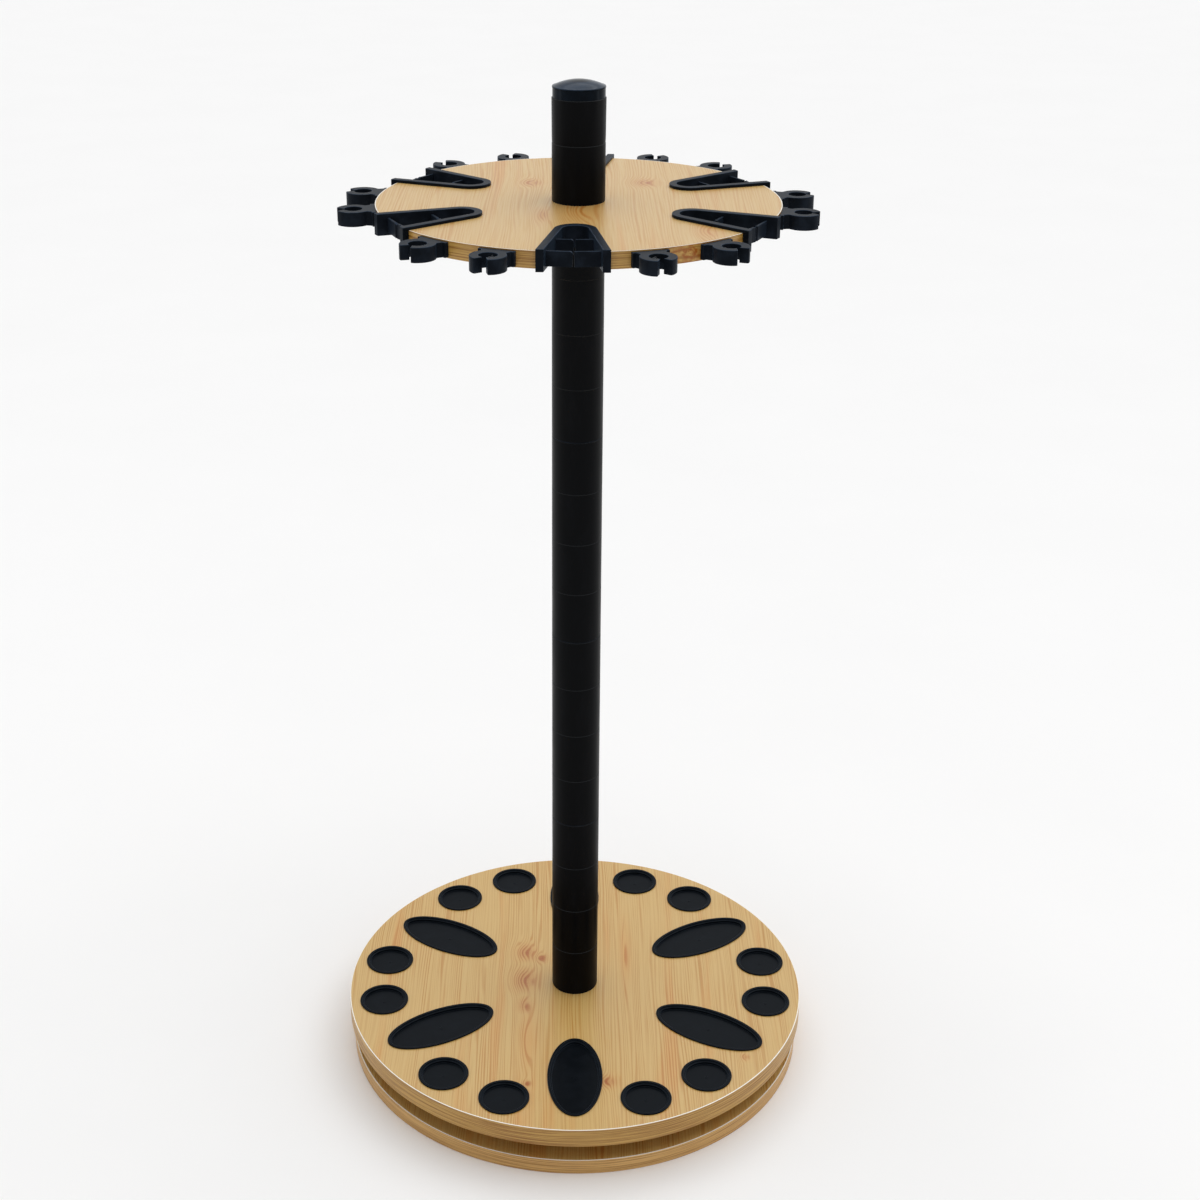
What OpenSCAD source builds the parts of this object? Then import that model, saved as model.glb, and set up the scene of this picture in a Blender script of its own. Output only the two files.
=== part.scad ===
// Round floor rack that turns on a ball bearing. Butts stand in cups in the base board and
// shafts are held by notched holders and ring clips in the top plate, in eighteen places.
// Millimetres, +Z up, origin in the middle of the foot board's underside, front towards -Y.

/* [Boards] */
// Diameter of the base board that turns
base_d = 400; // [390:1:440]
// Thickness of the base board
base_t = 16.5; // [14:0.5:22]
// Diameter of the foot board that stays still
foot_d = 394; // [260:1:440]
// Thickness of the foot board
foot_t = 13.5; // [12:0.5:22]
// Height of the space between foot board and base board
board_gap = 16.5; // [16:0.5:20]
// Diameter of the top plate
plate_d = 303; // [296:1:330]
// Thickness of the top plate
plate_t = 12.5; // [11.5:0.5:18]
// Turn of the top plate against the base board, in degrees
plate_turn = -1.5; // [-5:0.5:5]
// Thickness of the edge band glued round each board
band_t = 0.8; // [0.4:0.1:2]

/* [Column] */
// Outer diameter of the column tubes
tube_d = 40; // [38:0.5:50]
// Wall of the column tubes
tube_wall = 2.5; // [2:0.1:4]
// Height from one ring groove to the next
ring_pitch = 43.2; // [36:0.2:50]
// Depth of a ring groove
groove_depth = 0.25; // [0.1:0.05:0.8]
// Height of a ring groove and of the collars between tubes
groove_h = 0.8; // [0.5:0.1:1.6]
// Height of the short tube above the top plate
handle_h = 75.3; // [60:0.1:110]
// Height in the short tube of its groove, from the plate
handle_groove_h = 43.2; // [30:0.2:55]
// Length of a plug inside a tube end
plug_len = 25; // [15:1:30]
// Diameter of the tie rod
tie_rod_d = 8; // [6:0.5:9]
// Width across the flats of the tie rod's nuts
nut_flats = 13; // [13:0.5:17]
// Height of a nut
nut_h = 8; // [5:0.5:9]
// Diameter of a nut's flange
nut_flange_d = 17.9; // [17:0.1:22]
// Thickness of a nut's flange
nut_flange_t = 1.6; // [1:0.1:2.5]
// Length of tie rod that sticks out past a nut
tie_rod_end = 3; // [1:0.5:6]

/* [Top cap] */
// How far the cap's side stands back from the tube's
cap_inset = 0.4; // [0:0.1:1.5]
// Height of the cap's straight side
cap_skirt_h = 7.9; // [4:0.1:14]
// Rise of the cap's dome
cap_rise = 4.6; // [2:0.1:9]
// Wall of the cap
cap_wall = 2.4; // [1.6:0.1:4]
// Length of the cap that goes into the tube
cap_plug_len = 12; // [6:1:20]

/* [Bearing] */
// Diameter of a bearing ball
ball_d = 6.35; // [5:0.05:7]
// Number of bearing balls
ball_count = 24; // [8:1:36]
// Diameter of the circle of balls
ball_circle_d = 160; // [130:1:170]
// Width of a race across its ball groove
race_w = 12; // [9:0.5:16]
// Thickness of the screw flange of a race
race_flange_t = 2; // [1.5:0.1:3]
// Width of the screw flange of a race
race_flange_w = 12; // [10:0.5:18]
// Space between the two races
race_gap = 1.2; // [1:0.1:1.6]
// Thickness of the ball cage
cage_t = 0.6; // [0.4:0.1:0.8]
// Width of the ball cage
cage_w = 10; // [8.6:0.2:12]
// Width of the hook that keeps the races together
hook_w = 2; // [1.5:0.1:3]
// Thickness of the hook's lip and of the ledge above it
hook_lip_t = 1.4; // [1:0.1:1.8]
// Number of screws in a race
race_screw_count = 6; // [3:1:12]

/* [Cups] */
// Outer diameter of a round cup's rim
round_cup_d = 42; // [36:0.5:46]
// Distance from the base board's edge to a round cup's rim
round_cup_inset = 8.5; // [5:0.5:12]
// Length of an oval cup's rim
oval_cup_len = 99.4; // [90:0.2:110]
// Width of an oval cup's rim
oval_cup_w = 46; // [38:0.5:50]
// Radius of the two ends of an oval cup
oval_end_r = 14; // [11:0.5:17]
// Distance from the base board's edge to an oval cup's rim
oval_cup_inset = 16.9; // [12:0.1:24]
// Height of a cup's rim above the board
cup_rim_h = 1.5; // [0.8:0.1:3]
// Width of a cup's rim
cup_rim_w = 2.2; // [1.6:0.1:3]
// Width of the step inside a cup's rim
cup_step_w = 1.4; // [0.8:0.1:2.5]
// Depth of the step below the rim
cup_step_depth = 1.4; // [0.6:0.1:2.2]
// Depth of a cup's floor below the rim
cup_floor_depth = 3.4; // [2.6:0.1:5]
// Thickness of a cup's floor
cup_floor_t = 2; // [1.2:0.1:3]
// Overlap of a cup's rim on the board
cup_lip = 1.6; // [0.8:0.1:2]

/* [Notched holders] */
// Length of a holder from its round end to its mouth
holder_len = 73; // [66:0.5:78]
// Width of a holder's round end
holder_round_w = 30.8; // [27:0.2:34]
// Width of a holder at its mouth
holder_mouth_w = 51.4; // [44:0.2:56]
// Width of a holder's rim
holder_rim_w = 5.5; // [4.5:0.1:7]
// Height of a holder's rim above the plate
holder_rim_h = 2.4; // [1.6:0.1:4]
// Thickness of a holder's walls inside the plate
holder_wall = 2.5; // [1.8:0.1:3.5]
// How far a holder reaches below the plate
holder_drop = 1.1; // [0.9:0.1:2]
// How far a holder's posts stand out from the plate's edge
post_t = 3; // [2:0.1:5]
// How far the catches under the plate stand out
catch_w = 1; // [0.5:0.1:1.5]
// Length of a catch
catch_len = 8; // [4:0.5:12]
// Thickness of a flexible finger
finger_t = 1.6; // [1.2:0.1:2]
// Diameter of the bead along a finger's tip
finger_tip_d = 2.2; // [2:0.1:3.2]
// Height of a flexible finger
finger_h = 11; // [8:0.5:12]
// Depth of a finger's top below the holder's rim
finger_sink = 3; // [1:0.1:4]
// Distance from the mouth to the outer fingers
outer_finger_inset = 7; // [5:0.5:12]
// Distance from the mouth to the inner fingers
inner_finger_inset = 39.5; // [32:0.5:44]
// Space between two finger tips
finger_gap = 1.2; // [0.5:0.1:2]
// Slant of the fingers towards the mouth, in degrees
finger_slant = 5; // [0:1:10]

/* [Ring clips] */
// Distance from the plate's edge to the middle of a clip's ring
clip_reach = 16.1; // [15:0.1:20]
// Outer diameter of a clip's ring
clip_ring_d = 25.9; // [22:0.1:29]
// Bore of a clip's ring
clip_bore_d = 13.5; // [10:0.1:15]
// Height of a clip
clip_h = 10.8; // [8:0.1:11.4]
// Width of a clip's flange
clip_flange_w = 27; // [24:0.5:32]
// Thickness of a clip's flange
clip_flange_t = 3; // [2:0.1:4]
// Width of a clip's neck
clip_neck_w = 16; // [14:0.5:19]
// Width of the slit between a clip's jaws
clip_slit_w = 2.6; // [1.6:0.1:4]
// Half angle of the mouth between a clip's jaws, in degrees
clip_mouth_angle = 35; // [20:1:45]
// How far the jaw ends are cut back from the ring
clip_tip_cut = 1.3; // [0.5:0.1:2]

/* [Screws] */
// Diameter of a wood screw's shank
screw_d = 3.2; // [2.5:0.1:4]
// Diameter of a wood screw's head
screw_head_d = 6.2; // [5.5:0.1:7]
// Height of a wood screw's head
screw_head_h = 2; // [1.5:0.1:2.4]
// Length of a race screw in its board
race_screw_len = 9; // [6:0.5:10]
// Length of a clip screw in the plate
clip_screw_len = 16; // [10:1:24]
// How far a clip screw's head lies below the wall of the bore
screw_head_sink = 1; // [0.8:0.1:1.6]
// Length of each bar of the cross in a screw's head
cross_len = 3.7; // [2.6:0.1:4.4]
// Width of each bar of the cross in a screw's head
cross_w = 0.9; // [0.5:0.1:1.4]
// Depth of a screw head's cross
cross_depth = 1; // [0.6:0.1:1.2]

/* [Clearances] */
// Gap all round between a part and the hole or tube it sits in
fit = 0.1; // [0.02:0.02:0.2]
// Gap all round between a ball and its groove
ball_fit = 0.05; // [0.02:0.01:0.08]
// Gap all round between the tie rod and its nuts
nut_fit = 0.05; // [0.02:0.01:0.1]
// Gap between the hooked edges of the two races
hook_fit = 0.4; // [0.2:0.05:0.8]
// Gap all round the tie rod in the plugs and boards
tie_rod_fit = 0.3; // [0.1:0.05:0.6]

/* [Hidden] */
$fn = 96;
through = 1;
groups = 6;
round_per_group = 2;
place_pitch = 360 / (groups * (round_per_group + 1));
tube_total = 4;
rings_per_tube = 4;
front = -90;

wood = "#d8bd8c";
wood_edge = "#c7a878";
black_plastic = "#26292e";
black_tube = "#1d1e20";
steel = "#b9bcc0";
zinc = "#a9abad";

// Levels
base_z = foot_t + board_gap;
base_top = base_z + base_t;
tube_pitch = ring_pitch * rings_per_tube;
plate_z = base_top + tube_pitch * tube_total + groove_h;
plate_top = plate_z + plate_t;
handle_z = plate_top + groove_h;
handle_top = handle_z + handle_h;
upper_nut_z = handle_z + plug_len;

// Radii and places in the boards
plate_r = plate_d / 2;
round_cup_r = base_d / 2 - round_cup_inset - round_cup_d / 2;
oval_cup_r = base_d / 2 - oval_cup_inset - oval_cup_len / 2;
clip_r = plate_r + clip_reach;
bore_r = tube_d / 2 - tube_wall;
plug_r = bore_r - fit;
cap_r = tube_d / 2 - cap_inset;
collar_r = tube_d / 2 - groove_depth;
tie_hole_r = tie_rod_d / 2 + tie_rod_fit;
pilot_r = screw_d / 2 + fit;
screw_face_r = clip_r - clip_bore_d / 2 - screw_head_sink;

// Oval made of two end arcs and two side arcs that meet smoothly
oval_end_x = oval_cup_len / 2 - oval_end_r;
oval_rise = oval_cup_w / 2 - oval_end_r;
oval_side_y = (oval_end_x * oval_end_x - oval_rise * oval_rise) / (2 * oval_rise);
oval_side_r = oval_cup_w / 2 + oval_side_y;

// Cup levels, from the top of the board
cup_floor_z = cup_rim_h - cup_floor_depth;
cup_bottom_z = cup_floor_z - cup_floor_t;

// Outline of a holder: a round end and two straight sides that lean apart
mouth_x = plate_r + post_t;
rim_r = holder_round_w / 2;
inner_r = rim_r - holder_rim_w;
wall_r = inner_r + holder_wall;
round_x = mouth_x - holder_len + rim_r;
side_run = mouth_x - round_x;
side_angle = acos(rim_r / norm([holder_mouth_w / 2, side_run])) - atan2(side_run, holder_mouth_w / 2);
holder_z = plate_z - holder_drop;

// Race profile, measured up from the face that a race is screwed to
ball_circle_r = ball_circle_d / 2;
race_h = (board_gap - race_gap) / 2;
race_in_r = ball_circle_r - race_w / 2;
race_out_r = ball_circle_r + race_w / 2;
ledge_z = 2 * hook_lip_t + hook_fit;
hook_in_r = race_out_r + hook_w + hook_fit;
hook_out_r = hook_in_r + hook_w;
lower_screw_r = race_in_r - race_flange_w / 2;
upper_screw_r = hook_out_r + race_flange_w / 2;

// Azimuths of the places: each group has one oval place and two round ones after it
function oval_turn(i) = front + (i - 1) * 360 / groups;
function round_turn(i) = front + (floor((i - 1) / round_per_group) * (round_per_group + 1)
    + 1 + (i - 1) % round_per_group) * place_pitch;

// A board without its edge band, its underside at height z
module board(d, t, z) {
    translate([0, 0, z]) cylinder(r = d / 2 - band_t, h = t);
}

// The band glued round a board
module edge_band(d, t, z) {
    translate([0, 0, z]) difference() {
        cylinder(r = d / 2, h = t);
        translate([0, 0, -through]) cylinder(r = d / 2 - band_t, h = t + 2 * through);
    }
}

// Copies of a piece on a circle
module on_circle(r, count) {
    for (i = [0 : count - 1]) {
        rotate([0, 0, i * 360 / count]) translate([r, 0, 0]) children();
    }
}

// Pan head screw, its shank pointing down from the seat at height 0
module pan_screw(len) {
    color(zinc) difference() {
        union() {
            cylinder(d = screw_head_d, h = screw_head_h);
            translate([0, 0, -len]) cylinder(d = screw_d, h = len);
        }
        screw_cross(screw_head_h);
    }
}

// The cross in a screw's head, cut down from height z
module screw_cross(z) {
    for (bar = [[cross_len, cross_w], [cross_w, cross_len]]) {
        translate([-bar[0] / 2, -bar[1] / 2, z - cross_depth]) cube([bar[0], bar[1], cross_depth + through]);
    }
}

module foot_disc() {
    color(wood) difference() {
        board(foot_d, foot_t, 0);
        on_circle(lower_screw_r, race_screw_count) {
            translate([0, 0, foot_t - race_screw_len - fit]) {
                cylinder(r = pilot_r, h = race_screw_len + fit + through);
            }
        }
    }
}

module foot_edge_band() {
    color(wood_edge) edge_band(foot_d, foot_t, 0);
}

// Lower race: screw flange inside, ball groove on top, ledge outside for the hook
module lower_race() {
    color(steel) translate([0, 0, foot_t]) difference() {
        rotate_extrude() difference() {
            polygon([
                [race_in_r - race_flange_w, 0],
                [race_out_r, 0],
                [race_out_r, ledge_z],
                [race_out_r + hook_w, ledge_z],
                [race_out_r + hook_w, ledge_z + hook_lip_t],
                [race_out_r, ledge_z + hook_lip_t],
                [race_out_r, race_h],
                [race_in_r, race_h],
                [race_in_r, race_flange_t],
                [race_in_r - race_flange_w, race_flange_t]
            ]);
            translate([ball_circle_r, board_gap / 2]) circle(r = ball_d / 2 + ball_fit);
        }
        on_circle(lower_screw_r, race_screw_count) {
            translate([0, 0, -through]) cylinder(r = pilot_r, h = race_flange_t + 2 * through);
        }
    }
}

// Upper race: ball groove below, skirt outside that hooks under the lower race's ledge
module upper_race() {
    lip_z = hook_lip_t;
    color(steel) translate([0, 0, foot_t]) difference() {
        rotate_extrude() difference() {
            polygon([
                [race_in_r, board_gap],
                [race_in_r, board_gap - race_h],
                [race_out_r, board_gap - race_h],
                [race_out_r, board_gap - race_flange_t],
                [hook_in_r, board_gap - race_flange_t],
                [hook_in_r, lip_z + hook_lip_t],
                [race_out_r + hook_fit, lip_z + hook_lip_t],
                [race_out_r + hook_fit, lip_z],
                [hook_out_r, lip_z],
                [hook_out_r, board_gap - race_flange_t],
                [hook_out_r + race_flange_w, board_gap - race_flange_t],
                [hook_out_r + race_flange_w, board_gap]
            ]);
            translate([ball_circle_r, board_gap / 2]) circle(r = ball_d / 2 + ball_fit);
        }
        on_circle(upper_screw_r, race_screw_count) {
            translate([0, 0, board_gap - race_flange_t - through]) {
                cylinder(r = pilot_r, h = race_flange_t + 2 * through);
            }
        }
    }
}

module lower_race_screws() {
    on_circle(lower_screw_r, race_screw_count) {
        translate([0, 0, foot_t + race_flange_t]) pan_screw(race_flange_t + race_screw_len);
    }
}

module upper_race_screws() {
    on_circle(upper_screw_r, race_screw_count) {
        translate([0, 0, base_z - race_flange_t]) mirror([0, 0, 1]) pan_screw(race_flange_t + race_screw_len);
    }
}

module bearing_balls() {
    color(steel) on_circle(ball_circle_r, ball_count) {
        translate([0, 0, foot_t + board_gap / 2]) sphere(d = ball_d);
    }
}

// Flat ring with a hole for every ball
module ball_cage() {
    color("#d8d5c8") translate([0, 0, foot_t + (board_gap - cage_t) / 2]) difference() {
        cylinder(r = ball_circle_r + cage_w / 2, h = cage_t);
        translate([0, 0, -through]) cylinder(r = ball_circle_r - cage_w / 2, h = cage_t + 2 * through);
        on_circle(ball_circle_r, ball_count) {
            translate([0, 0, -through]) cylinder(r = ball_d / 2 + fit, h = cage_t + 2 * through);
        }
    }
}

// Outline of an oval cup, lengthways along X, grown or shrunk all round
module oval_outline(grow) {
    hinge_len = norm([oval_end_x, oval_side_y]);
    joint_x = oval_end_x + (oval_end_r + grow) * oval_end_x / hinge_len;
    intersection() {
        translate([0, -oval_side_y]) circle(r = oval_side_r + grow);
        translate([0, oval_side_y]) circle(r = oval_side_r + grow);
        square([2 * joint_x, oval_cup_w + 2 * grow + 2 * through], center = true);
    }
    for (side = [-1, 1]) {
        translate([side * oval_end_x, 0]) circle(r = oval_end_r + grow);
    }
}

module cup_outline(kind, grow) {
    if (kind == "oval") {
        oval_outline(grow);
    } else {
        circle(r = round_cup_d / 2 + grow);
    }
}

// A cup that drops into a pocket and rests with its rim on the board, whose top is height 0
module cup(kind) {
    color(black_plastic) difference() {
        union() {
            linear_extrude(cup_rim_h) cup_outline(kind, 0);
            translate([0, 0, cup_bottom_z]) linear_extrude(-cup_bottom_z) cup_outline(kind, -cup_lip);
        }
        translate([0, 0, cup_rim_h - cup_step_depth]) {
            linear_extrude(cup_step_depth + through) cup_outline(kind, -cup_rim_w);
        }
        translate([0, 0, cup_floor_z]) {
            linear_extrude(cup_floor_depth + through) cup_outline(kind, -cup_rim_w - cup_step_w);
        }
    }
}

// The pocket for a cup
module cup_pocket(kind) {
    pocket_z = cup_bottom_z - fit;
    translate([0, 0, pocket_z]) linear_extrude(through - pocket_z) cup_outline(kind, fit - cup_lip);
}

// Moves a cup or its pocket to its place on the base board
module at_oval(i) {
    rotate([0, 0, oval_turn(i)]) translate([oval_cup_r, 0, base_top]) children();
}

module at_round(i) {
    rotate([0, 0, round_turn(i)]) translate([round_cup_r, 0, base_top]) children();
}

module oval_cup(i) {
    at_oval(i) cup("oval");
}

module round_cup(i) {
    at_round(i) cup("round");
}

module base_disc() {
    color(wood) difference() {
        board(base_d, base_t, base_z);
        for (i = [1 : groups]) {
            at_oval(i) cup_pocket("oval");
        }
        for (i = [1 : groups * round_per_group]) {
            at_round(i) cup_pocket("round");
        }
        translate([0, 0, base_z - through]) cylinder(r = tie_hole_r, h = base_t + 2 * through);
        on_circle(upper_screw_r, race_screw_count) {
            translate([0, 0, base_z - through]) cylinder(r = pilot_r, h = race_screw_len + fit + through);
        }
    }
}

module base_edge_band() {
    color(wood_edge) edge_band(base_d, base_t, base_z);
}

// Rod that clamps the boards and the column together
module tie_rod() {
    rod_z = base_z - nut_h - tie_rod_end;
    rod_top = upper_nut_z + nut_h + tie_rod_end;
    color(zinc) translate([0, 0, rod_z]) cylinder(d = tie_rod_d, h = rod_top - rod_z);
}

// Flanged nut, its flange down
module flanged_nut() {
    difference() {
        union() {
            cylinder(d = nut_flange_d, h = nut_flange_t);
            cylinder(r = nut_flats / (2 * cos(30)), h = nut_h, $fn = 6);
        }
        translate([0, 0, -through]) cylinder(r = tie_rod_d / 2 + nut_fit, h = nut_h + 2 * through);
    }
}

module tie_rod_nuts() {
    color(zinc) {
        translate([0, 0, base_z]) mirror([0, 0, 1]) flanged_nut();
        translate([0, 0, upper_nut_z]) flanged_nut();
    }
}

// Collar with a plug above it that fills a tube's end
module end_plug() {
    difference() {
        union() {
            cylinder(r = collar_r, h = groove_h);
            cylinder(r = plug_r, h = groove_h + plug_len);
        }
        translate([0, 0, -through]) cylinder(r = tie_hole_r, h = groove_h + plug_len + 2 * through);
    }
}

module end_plugs() {
    color(black_plastic) {
        translate([0, 0, base_top]) end_plug();
        translate([0, 0, plate_z]) mirror([0, 0, 1]) end_plug();
        translate([0, 0, plate_top]) end_plug();
    }
}

// Couplers join the tubes end to end, with a collar between them
module tube_couplers() {
    color(black_plastic) for (i = [1 : tube_total - 1]) {
        translate([0, 0, base_top + i * tube_pitch]) difference() {
            union() {
                cylinder(r = collar_r, h = groove_h);
                translate([0, 0, -plug_len]) cylinder(r = plug_r, h = 2 * plug_len + groove_h);
            }
            translate([0, 0, -plug_len - through]) {
                cylinder(r = tie_hole_r, h = 2 * plug_len + groove_h + 2 * through);
            }
        }
    }
}

// Tube from height 0 up, with ring grooves at the listed heights
module grooved_tube(len, grooves) {
    color(black_tube) difference() {
        cylinder(d = tube_d, h = len);
        translate([0, 0, -through]) cylinder(r = bore_r, h = len + 2 * through);
        for (z = grooves) {
            translate([0, 0, z]) difference() {
                cylinder(r = tube_d / 2 + through, h = groove_h);
                translate([0, 0, -through]) cylinder(r = collar_r, h = groove_h + 2 * through);
            }
        }
    }
}

module column_tube(i) {
    translate([0, 0, base_top + (i - 1) * tube_pitch + groove_h]) {
        grooved_tube(tube_pitch - groove_h, [for (k = [1 : rings_per_tube - 1]) k * ring_pitch - groove_h]);
    }
}

module handle_tube() {
    translate([0, 0, handle_z]) grooved_tube(handle_h, [handle_groove_h - groove_h]);
}

// Part of a ball that rises by the given height over a circle of radius r
module dome(r, rise) {
    ball_r = (r * r + rise * rise) / (2 * rise);
    intersection() {
        translate([0, 0, rise - ball_r]) sphere(r = ball_r);
        cylinder(r = r, h = rise + through);
    }
}

module top_cap() {
    color(black_plastic) translate([0, 0, handle_top]) difference() {
        union() {
            translate([0, 0, -cap_plug_len]) cylinder(r = plug_r, h = cap_plug_len + cap_skirt_h);
            cylinder(r = cap_r, h = cap_skirt_h);
            translate([0, 0, cap_skirt_h]) dome(cap_r, cap_rise);
        }
        translate([0, 0, -cap_plug_len - through]) {
            cylinder(r = plug_r - cap_wall, h = cap_plug_len + cap_skirt_h + through);
        }
    }
}

// Half width of a holder's outline at a place along it, for an outline whose round end has radius r
function holder_half_w(x, r) = (r + (x - round_x) * sin(side_angle)) / cos(side_angle);

// Outline of a holder out to x_end, its round end with radius r
module holder_outline(r, x_end) {
    touch = [round_x - r * sin(side_angle), r * cos(side_angle)];
    end_y = holder_half_w(x_end, r);
    translate([round_x, 0]) circle(r = r);
    polygon([touch, [x_end, end_y], [x_end, -end_y], [touch[0], -touch[1]]]);
}

// Flexible finger from the wall to the middle line
module finger(inset) {
    tip_x = mouth_x - inset;
    len = (holder_half_w(tip_x, inner_r) - finger_gap / 2) / cos(finger_slant) + holder_wall / 2;
    tip_r = finger_tip_d / 2;
    translate([tip_x, finger_gap / 2, plate_top + holder_rim_h - finger_sink - finger_h]) {
        rotate([0, 0, finger_slant]) {
            translate([-finger_t / 2, tip_r, 0]) cube([finger_t, len - tip_r, finger_h]);
            translate([0, tip_r, 0]) cylinder(r = tip_r, h = finger_h);
        }
    }
}

// Notched holder: rim on the plate, walls through it, posts in front of its edge, fingers across
module notched_holder() {
    wall_h = plate_top - holder_z;
    cut_h = wall_h + holder_rim_h + 2 * through;
    color(black_plastic) {
        difference() {
            union() {
                translate([0, 0, plate_top]) linear_extrude(holder_rim_h) holder_outline(rim_r, mouth_x);
                translate([0, 0, holder_z]) linear_extrude(wall_h) holder_outline(wall_r, mouth_x);
                difference() {
                    translate([0, 0, holder_z]) linear_extrude(wall_h) holder_outline(rim_r, mouth_x);
                    translate([0, 0, holder_z - through]) {
                        cylinder(r = plate_r + fit, h = wall_h + 2 * through);
                    }
                }
                holder_catches();
            }
            translate([0, 0, holder_z - through]) {
                linear_extrude(cut_h) holder_outline(inner_r, mouth_x + through);
            }
        }
        for (inset = [outer_finger_inset, inner_finger_inset]) {
            finger(inset);
            mirror([0, 1, 0]) finger(inset);
        }
    }
}

// Catches on the walls that snap under the plate
module holder_catches() {
    catch_h = holder_drop - fit;
    for (x = [round_x, plate_r - catch_len]) {
        intersection() {
            translate([0, 0, holder_z]) linear_extrude(catch_h) holder_outline(wall_r + catch_w, mouth_x);
            translate([x - catch_len / 2, -holder_mouth_w / 2, holder_z]) {
                cube([catch_len, holder_mouth_w, catch_h]);
            }
        }
    }
}

module holder(i) {
    rotate([0, 0, oval_turn(i) + plate_turn]) notched_holder();
}

// Everything that is cut out of the top plate and its edge band
module plate_cuts() {
    for (i = [1 : groups]) {
        rotate([0, 0, oval_turn(i) + plate_turn]) translate([0, 0, plate_z - through]) {
            linear_extrude(plate_t + 2 * through) holder_outline(wall_r + fit, mouth_x);
        }
    }
    for (i = [1 : groups * round_per_group]) {
        rotate([0, 0, round_turn(i) + plate_turn]) {
            translate([plate_r - clip_screw_len - fit, 0, plate_z + plate_t / 2]) {
                rotate([0, 90, 0]) cylinder(r = pilot_r, h = clip_screw_len + fit + through);
            }
        }
    }
}

module top_plate() {
    color(wood) difference() {
        board(plate_d, plate_t, plate_z);
        translate([0, 0, plate_z - through]) cylinder(r = tie_hole_r, h = plate_t + 2 * through);
        plate_cuts();
    }
}

module plate_edge_band() {
    color(wood_edge) difference() {
        edge_band(plate_d, plate_t, plate_z);
        plate_cuts();
    }
}

// Ring clip: flange on the plate's edge, neck, and a ring whose jaws part towards the outside
module ring_clip() {
    hole_r = clip_bore_d / 2;
    ring_r = clip_ring_d / 2;
    jaw_x = clip_r + sqrt(hole_r * hole_r - clip_slit_w * clip_slit_w / 4);
    mouth_run = ring_r - hole_r + through;
    mouth_half_w = clip_slit_w / 2 + mouth_run * tan(clip_mouth_angle);
    clip_z = plate_z + (plate_t - clip_h) / 2;
    color(black_plastic) difference() {
        translate([0, 0, clip_z]) linear_extrude(clip_h) difference() {
            union() {
                translate([clip_r, 0]) circle(r = ring_r);
                polygon([
                    [plate_r - through, -clip_flange_w / 2],
                    [plate_r + clip_flange_t, -clip_flange_w / 2],
                    [plate_r + clip_flange_t, -clip_neck_w / 2 - clip_flange_t],
                    [plate_r + 2 * clip_flange_t, -clip_neck_w / 2],
                    [clip_r, -clip_neck_w / 2],
                    [clip_r, clip_neck_w / 2],
                    [plate_r + 2 * clip_flange_t, clip_neck_w / 2],
                    [plate_r + clip_flange_t, clip_neck_w / 2 + clip_flange_t],
                    [plate_r + clip_flange_t, clip_flange_w / 2],
                    [plate_r - through, clip_flange_w / 2]
                ]);
            }
            circle(r = plate_r + fit);
            translate([clip_r, 0]) circle(r = hole_r);
            translate([clip_r, -clip_slit_w / 2]) square([ring_r, clip_slit_w]);
            polygon([
                [jaw_x, -clip_slit_w / 2],
                [jaw_x + mouth_run, -mouth_half_w],
                [jaw_x + mouth_run, mouth_half_w],
                [jaw_x, clip_slit_w / 2]
            ]);
            translate([clip_r + ring_r - clip_tip_cut, -ring_r]) square([ring_r, 2 * ring_r]);
        }
        translate([plate_r, 0, plate_z + plate_t / 2]) rotate([0, 90, 0]) {
            cylinder(r = pilot_r, h = clip_reach);
            translate([0, 0, screw_face_r - plate_r - screw_head_h]) {
                cylinder(r1 = pilot_r, r2 = screw_head_d / 2 + fit, h = screw_head_h);
            }
            translate([0, 0, screw_face_r - plate_r]) {
                cylinder(r = screw_head_d / 2 + fit, h = clip_bore_d / 2);
            }
        }
    }
}

module clip(i) {
    rotate([0, 0, round_turn(i) + plate_turn]) ring_clip();
}

// Countersunk screws from the clips' bores into the plate's edge
module clip_screws() {
    shank_len = screw_face_r - plate_r + clip_screw_len;
    for (i = [1 : groups * round_per_group]) {
        rotate([0, 0, round_turn(i) + plate_turn]) translate([screw_face_r, 0, plate_z + plate_t / 2]) {
            rotate([0, 90, 0]) color(zinc) difference() {
                union() {
                    translate([0, 0, -shank_len]) cylinder(d = screw_d, h = shank_len);
                    translate([0, 0, -screw_head_h]) {
                        cylinder(d1 = screw_d, d2 = screw_head_d, h = screw_head_h);
                    }
                }
                screw_cross(0);
            }
        }
    }
}

foot_disc();
foot_edge_band();
lower_race();
lower_race_screws();
bearing_balls();
ball_cage();
upper_race();
upper_race_screws();
base_disc();
base_edge_band();
for (i = [1 : groups]) {
    oval_cup(i);
}
for (i = [1 : groups * round_per_group]) {
    round_cup(i);
}
tie_rod();
tie_rod_nuts();
end_plugs();
tube_couplers();
for (i = [1 : tube_total]) {
    column_tube(i);
}
handle_tube();
top_cap();
top_plate();
plate_edge_band();
for (i = [1 : groups]) {
    holder(i);
}
for (i = [1 : groups * round_per_group]) {
    clip(i);
}
clip_screws();
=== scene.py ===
# Round floor rack that turns on a ball bearing, put together here from the floor up: foot board,
# bearing, base board, butt cups, column, top plate, handle tube, cap, notched holders, ring clips.
import math

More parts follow.
